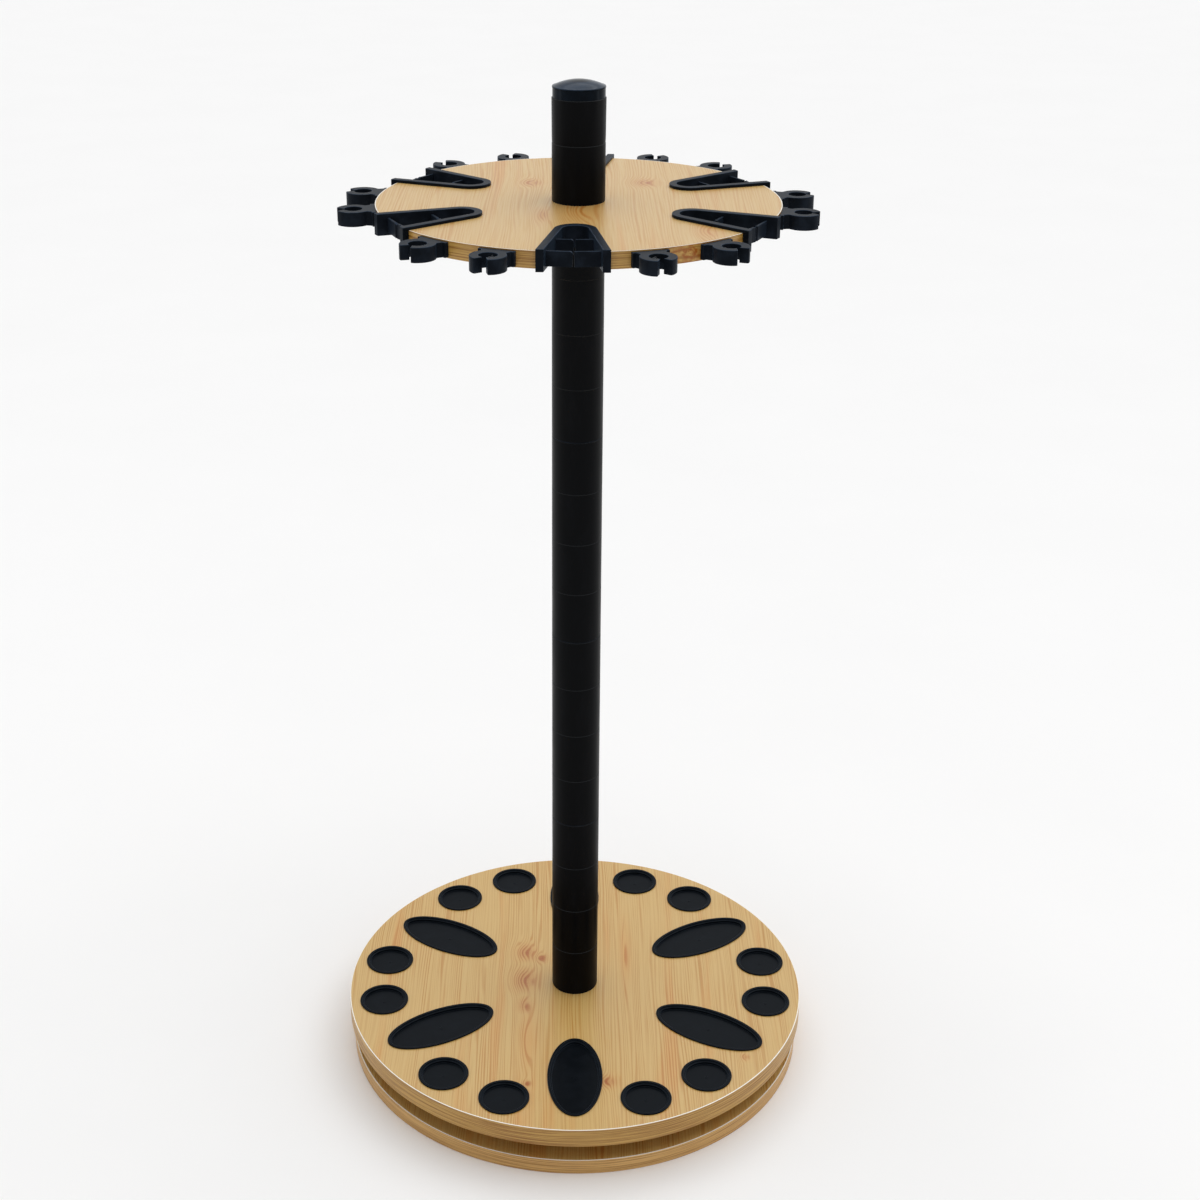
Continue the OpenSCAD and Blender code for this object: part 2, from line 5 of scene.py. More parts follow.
import bmesh
import bpy
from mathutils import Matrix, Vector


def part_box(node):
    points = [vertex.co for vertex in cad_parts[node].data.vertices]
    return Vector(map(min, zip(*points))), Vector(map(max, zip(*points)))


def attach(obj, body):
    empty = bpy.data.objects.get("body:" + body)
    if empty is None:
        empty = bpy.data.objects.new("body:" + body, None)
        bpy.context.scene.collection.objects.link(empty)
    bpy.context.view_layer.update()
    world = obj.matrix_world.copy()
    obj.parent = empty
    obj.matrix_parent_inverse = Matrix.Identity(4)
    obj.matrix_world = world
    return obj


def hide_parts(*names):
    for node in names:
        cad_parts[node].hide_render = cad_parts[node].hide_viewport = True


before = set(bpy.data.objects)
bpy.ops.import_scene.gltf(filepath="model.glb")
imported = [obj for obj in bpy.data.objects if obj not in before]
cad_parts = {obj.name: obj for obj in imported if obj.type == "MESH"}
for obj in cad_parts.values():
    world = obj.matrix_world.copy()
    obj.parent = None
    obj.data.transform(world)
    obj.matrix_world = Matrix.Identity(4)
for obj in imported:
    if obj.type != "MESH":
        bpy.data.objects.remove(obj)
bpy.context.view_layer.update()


# Foot board: a chipboard disc with a printed pine face, which stays still on the floor. The grain of
# the print runs from front to back, and parts round its knots and its longer amber figures.
MM = 0.001
FOOT_FIGURES = [
    (-70, 120, 10, 16, 0.7),
    (95, -60, 8, 12, 0.7),
    (20, -150, 8, 60, 0.0),
]
FIGURE_PUSH = 0.7
FIGURE_SWIRL = 0.25
HEART_TIGHTNESS = 2.5
HALO_WARMTH = 0.7
GRAIN_PITCH = 2.4
WANDER_WIDTH = 14.0
SPREAD_YEARS = 5.0

# Patterns of noise: clouds per mm across the grain and along it, and a step that sets each apart.
GRAIN_WANDER = (0.008, 0.004, 0.0)
YEAR_SPREAD = (0.11, 0.003, 0.0)
YEAR_STRENGTH = (0.09, 0.004, 7.0)
AMBER_STREAKS = (0.06, 0.003, 13.0)
KNOT_SPECKLE = (0.5, 0.35, 0.0)
FIBRES = (1.6, 0.02, 3.0)

# Ramps: the value where each starts and the one where it ends, then what it gives at both.
YEAR_LINES = (-0.4, 0.95)
STRONG_YEARS = (0.35, 0.65, 0.2, 0.85)
HALO_LINES = (-0.2, 0.9)
FIBRE_LINES = (0.5, 0.72, 0.0, 0.35)
AMBER_SHARE = (0.55, 0.72, 0.0, 0.65)
KNOT_SPECKS = (0.3, 0.6, 0.7, 1.0)
KNOT_RINGS = (-0.8, 0.6, 0.4, 1.0)
PINE_ROUGHNESS = (0.2, 0.8, 0.3, 0.42)

PRINT_GLOSS = 0.5
FIBRE_DEPTH = 0.02 * MM
FIBRE_RELIEF = 0.35
PINE_LIGHT = (203, 169, 105)
PINE_LINE = (182, 132, 60)
PINE_AMBER = (200, 148, 76)
PINE_RUST = (182, 112, 38)
PINE_KNOT = (156, 80, 0)


def paint(red, green, blue):
    """A colour as it shows on a screen, 0 to 255, turned into a shader's linear values."""
    linear = []
    for level in (red, green, blue):
        share = level / 255
        linear.append(share / 12.92 if share <= 0.04045 else ((share + 0.055) / 1.055) ** 2.4)
    return (*linear, 1.0)


def new_material(name, **values):
    """A material and its node tree, with plain values on the shader's own sockets."""
    material = bpy.data.materials.new(name)
    material.use_nodes = True
    shader = material.node_tree.nodes["Principled BSDF"]
    for socket, value in values.items():
        shader.inputs[socket.replace("_", " ")].default_value = value
    return material, material.node_tree


def connect(tree, socket, output):
    """Links an output to one of the shader's sockets."""
    tree.links.new(output, tree.nodes["Principled BSDF"].inputs[socket])


def feed(tree, sockets, values):
    """Gives each socket its value, or links it where the value is another node's output."""
    for socket, value in zip(sockets, values):
        if isinstance(value, bpy.types.NodeSocket):
            tree.links.new(value, socket)
        else:
            socket.default_value = value


def work_out(tree, operation, *values):
    """The output of a Math node that works on numbers or on other nodes' outputs."""
    made = tree.nodes.new("ShaderNodeMath")
    made.operation = operation
    feed(tree, made.inputs, values)
    return made.outputs[0]


def scaled(tree, value, factor):
    """The value times a factor, which can be a number or an output."""
    return work_out(tree, "MULTIPLY", value, factor)


def plus(tree, value, more):
    return work_out(tree, "ADD", value, more)


def minus(tree, value, taken):
    return work_out(tree, "SUBTRACT", value, taken)


def larger(tree, first, second):
    """The larger of the two."""
    return work_out(tree, "MAXIMUM", first, second)


def squares(tree, first, second):
    """The first squared plus the second squared."""
    return work_out(tree, "MULTIPLY_ADD", first, first, scaled(tree, second, second))


def fall_off(tree, reach, tightness):
    """1 where reach is 0, and soon 0 beyond, the sooner the tighter."""
    return work_out(tree, "EXPONENT", scaled(tree, reach, -tightness))


def mix_paint(tree, share, first, second):
    """The colour that lies the given share of the way from the first to the second."""
    made = tree.nodes.new("ShaderNodeMix")
    made.data_type = "RGBA"
    feed(tree, (made.inputs[0], made.inputs[6], made.inputs[7]), (share, first, second))
    return made.outputs[2]


def ramp(tree, value, low, high, from_value=0.0, to_value=1.0):
    """Follows value smoothly from from_value, at low, to to_value, at high."""
    made = tree.nodes.new("ShaderNodeMapRange")
    made.interpolation_type = "SMOOTHSTEP"
    sockets = [made.inputs[name] for name in ("Value", "From Min", "From Max", "To Min", "To Max")]
    feed(tree, sockets, (value, low, high, from_value, to_value))
    return made.outputs[0]


def place_in_mm(tree):
    """The three coordinates of the shaded point, in millimetres."""
    coordinates = tree.nodes.new("ShaderNodeTexCoord")
    split = tree.nodes.new("ShaderNodeSeparateXYZ")
    tree.links.new(coordinates.outputs["Object"], split.inputs[0])
    return [scaled(tree, axis, 1 / MM) for axis in split.outputs]


def noise(tree, *axes, detail=3.0, roughness=0.55):
    """Cloudy noise, 0 to 1, on three axes that are already scaled: one unit is one cloud."""
    joined = tree.nodes.new("ShaderNodeCombineXYZ")
    feed(tree, joined.inputs, axes)
    made = tree.nodes.new("ShaderNodeTexNoise")
    made.inputs["Scale"].default_value = 1.0
    made.inputs["Detail"].default_value = detail
    made.inputs["Roughness"].default_value = roughness
    tree.links.new(joined.outputs[0], made.inputs["Vector"])
    return made.outputs["Fac"]


def flat_noise(tree, first, second, pattern, offset=0.0, **settings):
    """Noise on two axes by a pattern: its clouds per mm on both, and a step beyond the offset."""
    first_density, second_density, step = pattern
    return noise(tree, scaled(tree, first, first_density), scaled(tree, second, second_density),
                 offset + step, **settings)


def emboss(tree, height, depth, relief):
    """Makes the surface look raised by height, 0 to 1, times a depth, by a share of relief."""
    made = tree.nodes.new("ShaderNodeBump")
    made.inputs["Distance"].default_value = depth
    made.inputs["Strength"].default_value = relief
    tree.links.new(height, made.inputs["Height"])
    connect(tree, "Normal", made.outputs[0])


def figure_grain(tree, x, y, figures):
    """How far the grain is pushed aside, its swirl, its amber halo and its dark hearts, from the
    figures: each has an x, y, half width and half length in mm and the strength of its heart."""
    push, swirl, halo, hearts = 0.0, 0.0, 0.0, 0.0
    for figure_x, figure_y, half_width, half_length, heart in figures:
        aside = scaled(tree, minus(tree, x, figure_x), 1 / half_width)
        along = scaled(tree, minus(tree, y, figure_y), 1 / half_length)
        reach = squares(tree, aside, along)
        near = fall_off(tree, reach, 1.0)
        core = scaled(tree, fall_off(tree, reach, HEART_TIGHTNESS), heart)
        move = scaled(tree, scaled(tree, aside, near), FIGURE_PUSH * half_width)
        push = plus(tree, push, move)
        swirl = plus(tree, swirl, scaled(tree, near, FIGURE_SWIRL * half_width))
        halo = larger(tree, halo, near)
        hearts = larger(tree, hearts, core)
    return push, swirl, halo, hearts


def pine_print(name, figures, offset, light=PINE_LIGHT, line=PINE_LINE):
    """Printed pine with its grain along Y, which parts and swirls round the figures."""
    material, tree = new_material(name, Specular_IOR_Level=PRINT_GLOSS)
    x, y, _ = place_in_mm(tree)
    push, swirl, halo, hearts = figure_grain(tree, x, y, figures)
    wander = flat_noise(tree, x, y, GRAIN_WANDER, offset, detail=1.0)
    across = plus(tree, minus(tree, x, push), scaled(tree, wander, WANDER_WIDTH))
    uneven = flat_noise(tree, across, y, YEAR_SPREAD, offset, detail=1.0)
    year = plus(tree, scaled(tree, across, 1 / GRAIN_PITCH), scaled(tree, uneven, SPREAD_YEARS))
    year = plus(tree, year, swirl)
    wave = work_out(tree, "SINE", scaled(tree, year, math.tau))
    strong = flat_noise(tree, across, y, YEAR_STRENGTH, offset, detail=2.0)
    fibres = flat_noise(tree, across, y, FIBRES, offset)
    lines = scaled(tree, ramp(tree, wave, *YEAR_LINES), ramp(tree, strong, *STRONG_YEARS))
    lines = larger(tree, lines, scaled(tree, ramp(tree, wave, *HALO_LINES), halo))
    lines = plus(tree, lines, ramp(tree, fibres, *FIBRE_LINES))
    amber = flat_noise(tree, across, y, AMBER_STREAKS, offset, detail=2.0)
    warm = larger(tree, ramp(tree, amber, *AMBER_SHARE), scaled(tree, halo, HALO_WARMTH))
    between = mix_paint(tree, warm, paint(*light), paint(*PINE_AMBER))
    on_lines = mix_paint(tree, warm, paint(*line), paint(*PINE_RUST))
    colour = mix_paint(tree, lines, between, on_lines)
    speckle = flat_noise(tree, x, y, KNOT_SPECKLE, offset)
    heart = scaled(tree, hearts, ramp(tree, speckle, *KNOT_SPECKS))
    heart = scaled(tree, heart, ramp(tree, wave, *KNOT_RINGS))
    connect(tree, "Base Color", mix_paint(tree, heart, colour, paint(*PINE_KNOT)))
    connect(tree, "Roughness", ramp(tree, fibres, *PINE_ROUGHNESS))
    emboss(tree, fibres, FIBRE_DEPTH, FIBRE_RELIEF)
    return material


def give_finish(node, material):
    """Gives a CAD node another material and leaves its shape and place alone."""
    for material_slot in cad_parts[node].material_slots:
        material_slot.material = material


give_finish("foot_disc", pine_print("foot board pine print", FOOT_FIGURES, offset=31.0))


# Foot board's edge band: a printed plastic strip glued round the disc, its grain running round it.
# Trimming rounds its two outer rims: the upper one shows the strip's pale core with a painted
# highlight, and the lower one painted shade.
BAND_SIDES = 256
BAND_TRIM = 0.4 * MM
BAND_SWELL = 0.01
SWELL_HEIGHT = 2.5
BAND_GRAIN = (0.01, 1.0, 0.0)
BAND_GRAIN_LINES = (0.42, 0.6)
BAND_GRAIN_DEPTH = 0.03 * MM
BAND_GRAIN_RELIEF = 0.4
BAND_ROUGHNESS = (0.2, 0.8, 0.34, 0.46)
BAND_SPECKLE = (0.25, 0.3, 0.0)
BAND_SPECKS = (0.35, 0.6)
# Upward rims get the pale core with a painted highlight, downward rims painted shade.
BAND_CORE_AND_HIGHLIGHT_ABOVE = (0.25, 0.5)
BAND_SHADE_BELOW = (-0.25, -0.5)
BAND_KNOT_STRETCH = 0.5
BAND_KNOT_PUSH = 0.8
BAND_LIGHT = (198, 156, 80)
BAND_LINE = (150, 102, 40)
# The foot band's print is the same band painted about a tenth lighter: painted light that makes it as
# bright as the base board's band.
FOOT_BAND_LIGHT_BRIGHTENED = (216, 172, 104)
FOOT_BAND_LINE_BRIGHTENED = (172, 126, 66)
BAND_CORE_AND_HIGHLIGHT = (250, 246, 236)
MERGE_GAP = 0.001 * MM
NEAR = 0.01 * MM
ROUNDING_STEPS = 3
SMOOTH_ANGLE = 32


def slope(tree, normal):
    """How far the surface looks up: 1 where it is level, 0 upright, and -1 where it looks down."""
    split = tree.nodes.new("ShaderNodeSeparateXYZ")
    tree.links.new(tree.nodes.new("ShaderNodeNewGeometry").outputs[normal], split.inputs[0])
    return split.outputs[2]


def band_print(name, radius, offset, light=BAND_LIGHT, line=BAND_LINE, knots=()):
    """Printed edge band of that radius, with its grain round the board, the pale core and a painted
    highlight on its upper trimmed rim, and painted shade on its lower one. Each knot has its turn
    about the board in degrees, and its height and size in mm."""
    material, tree = new_material(name, Specular_IOR_Level=PRINT_GLOSS)
    x, y, z = place_in_mm(tree)
    turn = work_out(tree, "ARCTAN2", y, x)
    along = scaled(tree, turn, radius)
    swell = noise(tree, scaled(tree, along, BAND_SWELL), offset, 0.0, detail=1.0)
    height = plus(tree, z, scaled(tree, swell, SWELL_HEIGHT))
    stain = 0.0
    for knot_turn, knot_z, size in knots:
        aside = minus(tree, turn, math.radians(knot_turn))
        aside = scaled(tree, aside, radius * BAND_KNOT_STRETCH)
        above = minus(tree, z, knot_z)
        near = fall_off(tree, squares(tree, aside, above), 1 / size ** 2)
        height = minus(tree, height, scaled(tree, above, scaled(tree, near, BAND_KNOT_PUSH)))
        stain = larger(tree, stain, near)
    grain = flat_noise(tree, along, height, BAND_GRAIN, offset, detail=4.0, roughness=0.7)
    speckle = flat_noise(tree, along, z, BAND_SPECKLE, offset)
    knot_share = scaled(tree, stain, ramp(tree, speckle, *BAND_SPECKS))
    facing = slope(tree, "Normal")
    colour = mix_paint(tree, ramp(tree, grain, *BAND_GRAIN_LINES), paint(*light), paint(*line))
    colour = mix_paint(tree, knot_share, colour, paint(*PINE_KNOT))
    # Painted highlight with the pale core on the upward rim, painted shade on the downward rim.
    colour = mix_paint(tree, ramp(tree, facing, *BAND_CORE_AND_HIGHLIGHT_ABOVE), colour, paint(*BAND_CORE_AND_HIGHLIGHT))
    colour = mix_paint(tree, ramp(tree, facing, *BAND_SHADE_BELOW), colour, paint(*PINE_KNOT))
    connect(tree, "Base Color", colour)
    connect(tree, "Roughness", ramp(tree, grain, *BAND_ROUGHNESS))
    emboss(tree, grain, BAND_GRAIN_DEPTH, BAND_GRAIN_RELIEF)
    return material


def take(piece):
    """Selects only this piece and makes it the active one."""
    bpy.ops.object.select_all(action="DESELECT")
    piece.select_set(True)
    bpy.context.view_layer.objects.active = piece


def fix_place():
    """Moves the selected object's place, turn and size into its mesh."""
    bpy.ops.object.transform_apply(location=True, rotation=True, scale=True)


def settle(name):
    """Names the newest object and moves its place and size into its mesh."""
    piece = bpy.context.object
    piece.name = name
    fix_place()
    return piece


def pick(piece, kind, wanted):
    """In edit mode, selects only the elements of that kind for which wanted is true."""
    bpy.ops.mesh.select_mode(type=kind)
    bpy.ops.mesh.select_all(action="DESELECT")
    mesh = bmesh.from_edit_mesh(piece.data)
    for element in {"EDGE": mesh.edges, "FACE": mesh.faces}[kind]:
        if wanted(element):
            element.select_set(True)
    bmesh.update_edit_mesh(piece.data)


def extrude(x, y, z):
    """In edit mode, extrudes what is selected and moves it by that much."""
    bpy.ops.mesh.extrude_region_move(TRANSFORM_OT_translate={"value": (x, y, z)})


def face_outward():
    """In edit mode, turns all faces outward."""
    bpy.ops.mesh.select_all(action="SELECT")
    bpy.ops.mesh.normals_make_consistent(inside=False)


def turned(name, outline, sides, closed=False):
    """A turned piece: a circle drawn through each (radius, height), back to the first if closed."""
    radius, height = outline[0]
    bpy.ops.object.select_all(action="DESELECT")
    bpy.ops.mesh.primitive_circle_add(vertices=sides, radius=radius, location=(0, 0, height),
                                      fill_type="NOTHING" if closed else "NGON")
    piece = settle(name)
    bpy.ops.object.mode_set(mode="EDIT")
    bpy.ops.mesh.select_mode(type="VERT")
    bpy.ops.mesh.select_all(action="SELECT")
    for next_radius, next_height in outline[1:] + (outline[:1] if closed else []):
        extrude(0, 0, next_height - height)
        grow = next_radius / radius
        bpy.ops.transform.resize(value=(grow, grow, 1), center_override=(0, 0, next_height))
        radius, height = next_radius, next_height
    bpy.ops.mesh.select_all(action="SELECT")
    bpy.ops.mesh.remove_doubles(threshold=MERGE_GAP)
    face_outward()
    bpy.ops.object.mode_set(mode="OBJECT")
    return piece


def apply_modifier(piece, kind, **settings):
    """Adds one modifier with its settings and applies it at once."""
    take(piece)
    modifier = piece.modifiers.new(kind.lower(), kind)
    for setting, value in settings.items():
        setattr(modifier, setting, value)
    bpy.ops.object.modifier_apply(modifier=modifier.name)


def finish_piece(piece, material, slot, body, *replaced, angle=SMOOTH_ANGLE):
    """Gives a finished piece its material and body, and hides what it stands for; the finish slot is
    not used. It is shaded smooth, but for edges sharper than the angle."""
    piece.data.materials.clear()
    piece.data.materials.append(material)
    take(piece)
    bpy.ops.object.shade_smooth_by_angle(angle=math.radians(angle))
    apply_modifier(piece, "WEIGHTED_NORMAL", keep_sharp=True)
    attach(piece, body)
    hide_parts(*replaced)


def edge_band(name, node):
    """A band round a board, its two outer rims trimmed round."""
    low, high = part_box(node)
    outer = high.x
    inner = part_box(node.replace("edge_band", "disc"))[1].x
    corners = [(inner, low.z), (outer, low.z), (outer, high.z), (inner, high.z)]
    band = turned(name, corners, BAND_SIDES, closed=True)
    bpy.ops.object.mode_set(mode="EDIT")

    def on_outer_rim(edge):
        radii = [vertex.co.xy.length for vertex in edge.verts]
        level = abs(edge.verts[0].co.z - edge.verts[1].co.z) < BAND_TRIM
        return level and min(radii) > outer - NEAR

    pick(band, "EDGE", on_outer_rim)
    bpy.ops.mesh.bevel(offset=BAND_TRIM, segments=ROUNDING_STEPS, affect="EDGES")
    bpy.ops.object.mode_set(mode="OBJECT")
    return band


foot_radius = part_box("foot_disc")[1].x / MM
foot_band = edge_band("foot_board_edge_band", "foot_edge_band")
# Painted light: the foot band's print is lighter than the base band's.
foot_band_brightened_print = band_print("foot board edge print brightened", foot_radius, offset=5.0,
                             light=FOOT_BAND_LIGHT_BRIGHTENED, line=FOOT_BAND_LINE_BRIGHTENED)
finish_piece(foot_band, foot_band_brightened_print, "wood_edge", "foot", "foot_edge_band")


# Bearing between the boards: two zinc-plated steel races that hook into each other, polished balls
# in a pale plastic cage, and bright screws through the race flanges. It shows only from low down.
RACE_TINT = (186, 188, 190)
BALL_TINT = (205, 207, 210)
ZINC_TINT = (176, 179, 184)
STEEL_DULLING = 0.8
STEEL_CLOUDS = (0.05, 0.05, 0.05)
CLOUD_SHARE = (0.35, 0.65)
TURNING_MARKS = (3.0, 3.0, 0.0)
TURNING_SHARE = (0.2, 0.8)
TURNING_DULLING = 0.16
TURNING_DEPTH = 0.02 * MM
TURNING_RELIEF = 0.4
RACE_ROUGHNESS = 0.3
BALL_ROUGHNESS = 0.08
ZINC_ROUGHNESS = 0.25
CAGE_TINT = (212, 206, 188)
CAGE_WORN = (190, 184, 166)
# Painted highlight colour for the cage's roundings.
CAGE_EDGE_HIGHLIGHT = (220, 214, 198)
GLINT_TINT = (214, 234, 255)
SHEEN_TINT = (150, 195, 245)
PLASTIC_RUBBING = (0.09, 0.09, 0.09)
RUBBED_PALER = (0.4, 0.75)
# How far the rubbing noise lets the painted edge highlight through.
HIGHLIGHT_UNEVENNESS = (0.3, 0.6, 0.5, 1.0)
RUBBED_DULLER = (0.25, 0.75)
MORE_POLISHED = 0.02
MORE_DULLED = 0.04
PLASTIC_SKIN = (1.6, 1.6, 1.6)
SKIN_DEPTH = 0.03 * MM
SKIN_RELIEF = 0.3
OFF_UPRIGHT = (0.1, 0.3)
OFF_LEVEL = (0.97, 0.995)


def solid_noise(tree, place, densities, **settings):
    """Noise through a whole piece. The densities are its clouds per mm along X, Y and Z."""
    axes = [scaled(tree, axis, density) for axis, density in zip(place, densities)]
    return noise(tree, *axes, **settings)


def turned_steel(name, tint, roughness):
    """Plated steel with the fine rings that turning leaves."""
    material, tree = new_material(name, Metallic=1.0)
    x, y, z = place_in_mm(tree)
    radius = work_out(tree, "SQRT", squares(tree, x, y))
    rings = flat_noise(tree, radius, z, TURNING_MARKS, detail=2.0)
    clouds = solid_noise(tree, (x, y, z), STEEL_CLOUDS)
    bright = paint(*tint)
    dull = (*(level * STEEL_DULLING for level in bright[:3]), 1.0)
    connect(tree, "Base Color", mix_paint(tree, ramp(tree, clouds, *CLOUD_SHARE), bright, dull))
    duller = ramp(tree, rings, *TURNING_SHARE, roughness, roughness + TURNING_DULLING)
    connect(tree, "Roughness", duller)
    emboss(tree, rings, TURNING_DEPTH, TURNING_RELIEF)
    return material


def painted_highlight_share(tree):
    """Where a highlight is painted: 1 on the narrow roundings between upright and level faces, 0 on
    the faces themselves.
    """
    facing = slope(tree, "True Normal")
    return scaled(tree, ramp(tree, facing, *OFF_UPRIGHT), ramp(tree, facing, *OFF_LEVEL, 1.0, 0.0))


def moulded_plastic(name, tint, worn, highlight_tint, roughness, gloss, relief=SKIN_RELIEF, sheen=0.0):
    """Moulded plastic with a cool glint and a fine grained skin, a little paler where it is rubbed,
    with a highlight painted along its edges. The black ones have a thin cool sheen too."""
    material, tree = new_material(name, Specular_IOR_Level=gloss, Specular_Tint=paint(*GLINT_TINT),
                                  Sheen_Weight=sheen, Sheen_Tint=paint(*SHEEN_TINT))
    place = place_in_mm(tree)
    rubbed = solid_noise(tree, place, PLASTIC_RUBBING, detail=4.0)
    skin = solid_noise(tree, place, PLASTIC_SKIN, detail=2.0)
    # Painted highlight: a paler colour on the roundings between upright and level faces.
    edge = scaled(tree, painted_highlight_share(tree), ramp(tree, rubbed, *HIGHLIGHT_UNEVENNESS))
    colour = mix_paint(tree, ramp(tree, rubbed, *RUBBED_PALER), paint(*tint), paint(*worn))
    connect(tree, "Base Color", mix_paint(tree, edge, colour, paint(*highlight_tint)))
    duller = ramp(tree, rubbed, *RUBBED_DULLER, roughness - MORE_POLISHED, roughness + MORE_DULLED)
    connect(tree, "Roughness", duller)
    emboss(tree, skin, SKIN_DEPTH, relief)
    return material


race_finish = turned_steel("turned race steel", RACE_TINT, RACE_ROUGHNESS)
zinc_finish = turned_steel("bright zinc", ZINC_TINT, ZINC_ROUGHNESS)
for node in ("lower_race", "upper_race"):
    give_finish(node, race_finish)
for node in ("lower_race_screws", "upper_race_screws"):
    give_finish(node, zinc_finish)
give_finish("bearing_balls", turned_steel("polished ball steel", BALL_TINT, BALL_ROUGHNESS))
give_finish("ball_cage", moulded_plastic("pale cage plastic", CAGE_TINT, CAGE_WORN, CAGE_EDGE_HIGHLIGHT,
                                         roughness=0.4, gloss=0.4))


# Base board: a thicker chipboard disc with a printed pine face, routed for the cups and screwed
# to the upper race. Its print has a few knots left of the column and beside the front oval cup.
BASE_FIGURES = [
    (-44, 43, 11, 15, 0.9),
    (-30, 34, 6, 8, 0.95),
    (-44, 1, 13, 20, 0.9),
    (-43, -36, 7, 14, 0.7),
    (-40, -143, 5, 7, 0.9),
    (27, -139, 8, 9, 1.0),
    (144, -106, 4, 5, 0.7),
    (-40, -84, 8, 46, 0.0),
    (46, 40, 5, 55, 0.0),
]

give_finish("base_disc", pine_print("base board pine print", BASE_FIGURES, offset=2.0))
base_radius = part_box("base_disc")[1].x / MM
base_band = edge_band("base_board_edge_band", "base_edge_band")
base_band_print = band_print("base board edge print", base_radius, offset=11.0)
finish_piece(base_band, base_band_print, "wood_edge", "rack", "base_edge_band")


# Butt cups: moulded black plastic dishes that drop into the base board's pockets and rest on their
# rims. Six are long ovals and twelve are round. Each has a step inside its rim.
PLACES = 18
PLACES_PER_OVAL = 3
FRONT_TURN = -90
CUP_SIDES = 128
CUP_RIM_HEIGHT = 1.5 * MM
CUP_RIM_WIDTH = 2.2 * MM
CUP_STEP_WIDTH = 1.4 * MM
CUP_STEP_DEPTH = 1.4 * MM
CUP_FLOOR_DROP = 2.0 * MM
CUP_LIP = 1.6 * MM
CUP_BODY_DEPTH = 3.9 * MM
CUP_SOFTNESS = 0.45 * MM
GATE_MARK_SIDES = 24
GATE_MARK_RADIUS = 1.4 * MM
GATE_MARK_HEIGHT = 0.2 * MM
ROUND_CUP_WIDTH = 42 * MM
ROUND_CUP_CENTRE = 170.5 * MM
OVAL_LENGTH = 99.4 * MM
OVAL_WIDTH = 46 * MM
OVAL_CENTRE = 133.4 * MM
CUP_BLACK = (5, 7, 10)
CUP_WORN = (9, 12, 16)
# Painted highlight colour for the cups' roundings.
CUP_EDGE_HIGHLIGHT = (26, 31, 37)
SQUARE_ON = 0.999
SOFTEN_ANGLE = math.radians(35)


def soften(piece, width, segments=ROUNDING_STEPS):
    """Rounds every edge sharper than SOFTEN_ANGLE."""
    apply_modifier(piece, "BEVEL", width=width, segments=segments, limit_method="ANGLE",
                   angle_limit=SOFTEN_ANGLE, use_clamp_overlap=False)


def step_in(piece, level, inset, drop):
    """Insets the level face at that height and pushes what is left of it down."""
    def at_level(face):
        height = face.calc_center_median().z
        return abs(face.normal.z) > SQUARE_ON and abs(height - level) < NEAR

    pick(piece, "FACE", at_level)
    bpy.ops.mesh.inset(thickness=inset)
    extrude(0, 0, -drop)


def cylinder(name, sides, radius, low, high, x=0.0, y=0.0):
    """An upright cylinder from the low to the high height."""
    bpy.ops.object.select_all(action="DESELECT")
    bpy.ops.mesh.primitive_cylinder_add(vertices=sides, radius=radius, depth=high - low,
                                        location=(x, y, (low + high) / 2))
    return settle(name)


def butt_cup(name, length, width):
    """A cup with its rim's underside at height 0, lengthways along X, with a gate mark in it."""
    bpy.ops.object.select_all(action="DESELECT")
    bpy.ops.mesh.primitive_circle_add(vertices=CUP_SIDES, radius=1 / 2, fill_type="NGON")
    bpy.context.object.scale = (length, width, 1)
    cup = settle(name)
    bpy.ops.object.mode_set(mode="EDIT")
    bpy.ops.mesh.select_all(action="SELECT")
    extrude(0, 0, CUP_RIM_HEIGHT)
    face_outward()
    step_in(cup, 0, CUP_LIP, CUP_BODY_DEPTH)
    step_in(cup, CUP_RIM_HEIGHT, CUP_RIM_WIDTH, CUP_STEP_DEPTH)
    step_in(cup, CUP_RIM_HEIGHT - CUP_STEP_DEPTH, CUP_STEP_WIDTH, CUP_FLOOR_DROP)
    bpy.ops.object.mode_set(mode="OBJECT")
    soften(cup, CUP_SOFTNESS)

    floor_z = CUP_RIM_HEIGHT - CUP_STEP_DEPTH - CUP_FLOOR_DROP
    mark = cylinder("gate_mark", GATE_MARK_SIDES, GATE_MARK_RADIUS, floor_z - GATE_MARK_HEIGHT,
                    floor_z + GATE_MARK_HEIGHT)
    soften(mark, GATE_MARK_HEIGHT / 2)
    take(cup)
    mark.select_set(True)
    bpy.ops.object.join()
    return cup


def copy_to(pattern, name, turn, reach=0.0, height=0.0):
    """A copy of a piece, with its own mesh, moved out and up and then turned about the column."""
    copy = pattern.copy()
    copy.data = pattern.data.copy()
    bpy.context.scene.collection.objects.link(copy)
    copy.name = name
    copy.location = (reach * math.cos(turn), reach * math.sin(turn), height)
    copy.rotation_euler = (0, 0, turn)
    take(copy)
    fix_place()
    return copy


def set_round(pattern, name, node, finish, turns, reach=0.0, height=0.0):
    """Sets a finished copy of a black plastic pattern at each turn, and takes the pattern away."""
    for number, turn in enumerate(turns, 1):
        copy = copy_to(pattern, f"{name}_{number}", turn, reach, height)
        finish_piece(copy, finish, "black_plastic", "rack", f"{node}_{number}")
    bpy.data.objects.remove(pattern)


